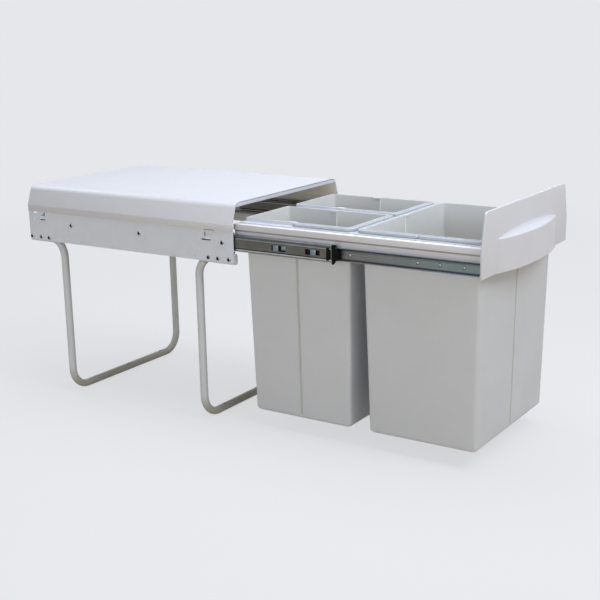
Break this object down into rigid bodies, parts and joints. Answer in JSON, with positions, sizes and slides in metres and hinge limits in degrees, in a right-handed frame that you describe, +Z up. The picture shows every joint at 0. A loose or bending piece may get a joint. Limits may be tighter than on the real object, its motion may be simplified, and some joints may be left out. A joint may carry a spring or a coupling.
{
  "type": "pull-out bin frame",
  "caption": "Pull-out waste bin unit for a base cabinet: covered steel frame on tube legs, full-extension ball-bearing slides, carriage with lift-out bins and a bowed front panel.",
  "frame": {"origin": "on the cabinet floor, at the middle of the four outer floor screw holes in the two legs' bottom bars", "axes": "+X out of the cabinet, the way the drawer pulls; +Z up; +Y to the right for someone who stands in front of the cabinet and faces it"},
  "size_m": [0.9485, 0.344, 0.418],
  "materials": {
    "white_paint": "white powder coat, satin",
    "grey_paint": "light grey powder coat, satin",
    "zinc": "bright zinc-plated steel",
    "rail_steel": "zinc-plated rolled steel",
    "cage_steel": "dark oiled strip steel",
    "ball_steel": "polished bearing steel",
    "black_plastic": "black moulded plastic",
    "white_plastic": "white moulded plastic, satin",
    "bin_plastic": "light warm-grey moulded plastic",
    "bail_plastic": "bluish-white moulded plastic"
  },
  "bodies": {
    "frame": {"top_cover": "white_paint", "left_side_plate": "white_paint", "right_side_plate": "white_paint", "rear_leg": "grey_paint", "front_leg": "grey_paint", "leg_rivets": "zinc", "slide_screws": "zinc", "left_outer_rail": "rail_steel", "right_outer_rail": "rail_steel"},
    "carriage": {"left_inner_rail": "rail_steel", "right_inner_rail": "rail_steel", "rail_screws": "zinc", "left_side_profile": "white_paint", "right_side_profile": "white_paint", "rear_crossbar": "white_paint", "middle_crossbar": "white_paint", "front_crossbar": "white_paint", "front_panel": "white_plastic", "panel_screws": "zinc"},
    "left_middle": {"left_middle_rail": "rail_steel", "left_end_stop": "black_plastic"},
    "left_outer_ball_row": {"left_outer_cage": "cage_steel", "left_outer_balls": "ball_steel"},
    "left_inner_ball_row": {"left_inner_cage": "cage_steel", "left_inner_balls": "ball_steel"},
    "right_middle": {"right_middle_rail": "rail_steel", "right_end_stop": "black_plastic"},
    "right_outer_ball_row": {"right_outer_cage": "cage_steel", "right_outer_balls": "ball_steel"},
    "right_inner_ball_row": {"right_inner_cage": "cage_steel", "right_inner_balls": "ball_steel"},
    "large_bin": {"large_bin": "bin_plastic"},
    "left_small_bin": {"left_small_bin": "bin_plastic"},
    "right_small_bin": {"right_small_bin": "bin_plastic"},
    "large_bin_rear_bail": {"large_bin_rear_bail": "bail_plastic"},
    "large_bin_front_bail": {"large_bin_front_bail": "bail_plastic"},
    "left_small_bin_bail": {"left_small_bin_bail": "bail_plastic"},
    "right_small_bin_bail": {"right_small_bin_bail": "bail_plastic"}
  },
  "joints": [
    {"name": "carriage_slide", "type": "slide", "parent": "frame", "child": "carriage", "axis": [1, 0, 0], "range_m": [-0.445, 0]},
    {"name": "left_middle_slide", "type": "slide", "parent": "frame", "child": "left_middle", "axis": [1, 0, 0], "range_m": [-0.2225, 0]},
    {"name": "left_outer_ball_row_slide", "type": "slide", "parent": "frame", "child": "left_outer_ball_row", "axis": [1, 0, 0], "range_m": [-0.11125, 0]},
    {"name": "left_inner_ball_row_slide", "type": "slide", "parent": "frame", "child": "left_inner_ball_row", "axis": [1, 0, 0], "range_m": [-0.33375, 0]},
    {"name": "right_middle_slide", "type": "slide", "parent": "frame", "child": "right_middle", "axis": [1, 0, 0], "range_m": [-0.2225, 0]},
    {"name": "right_outer_ball_row_slide", "type": "slide", "parent": "frame", "child": "right_outer_ball_row", "axis": [1, 0, 0], "range_m": [-0.11125, 0]},
    {"name": "right_inner_ball_row_slide", "type": "slide", "parent": "frame", "child": "right_inner_ball_row", "axis": [1, 0, 0], "range_m": [-0.33375, 0]},
    {"name": "large_bin_lift", "type": "slide", "parent": "carriage", "child": "large_bin", "axis": [0, 0, 1], "range_m": [0, 0.36]},
    {"name": "left_small_bin_lift", "type": "slide", "parent": "carriage", "child": "left_small_bin", "axis": [0, 0, 1], "range_m": [0, 0.36]},
    {"name": "right_small_bin_lift", "type": "slide", "parent": "carriage", "child": "right_small_bin", "axis": [0, 0, 1], "range_m": [0, 0.36]},
    {"name": "large_bin_rear_bail_hinge", "type": "hinge", "parent": "large_bin", "child": "large_bin_rear_bail", "pos_m": [0.57655, 0, 0.3683], "axis": [0, 1, 0], "range_deg": [0, 90]},
    {"name": "large_bin_front_bail_hinge", "type": "hinge", "parent": "large_bin", "child": "large_bin_front_bail", "pos_m": [0.58295, 0, 0.3683], "axis": [0, -1, 0], "range_deg": [0, 90]},
    {"name": "left_small_bin_bail_hinge", "type": "hinge", "parent": "left_small_bin", "child": "left_small_bin_bail", "pos_m": [0.35285, -0.0766, 0.3683], "axis": [0, -1, 0], "range_deg": [0, 110]},
    {"name": "right_small_bin_bail_hinge", "type": "hinge", "parent": "right_small_bin", "child": "right_small_bin_bail", "pos_m": [0.35285, 0.0766, 0.3683], "axis": [0, -1, 0], "range_deg": [0, 110]}
  ],
  "couplings": [
    {"joint": "left_middle_slide", "follows": "carriage_slide", "ratio": 0.5},
    {"joint": "left_outer_ball_row_slide", "follows": "carriage_slide", "ratio": 0.25},
    {"joint": "left_inner_ball_row_slide", "follows": "carriage_slide", "ratio": 0.75},
    {"joint": "right_middle_slide", "follows": "carriage_slide", "ratio": 0.5},
    {"joint": "right_outer_ball_row_slide", "follows": "carriage_slide", "ratio": 0.25},
    {"joint": "right_inner_ball_row_slide", "follows": "carriage_slide", "ratio": 0.75}
  ]
}
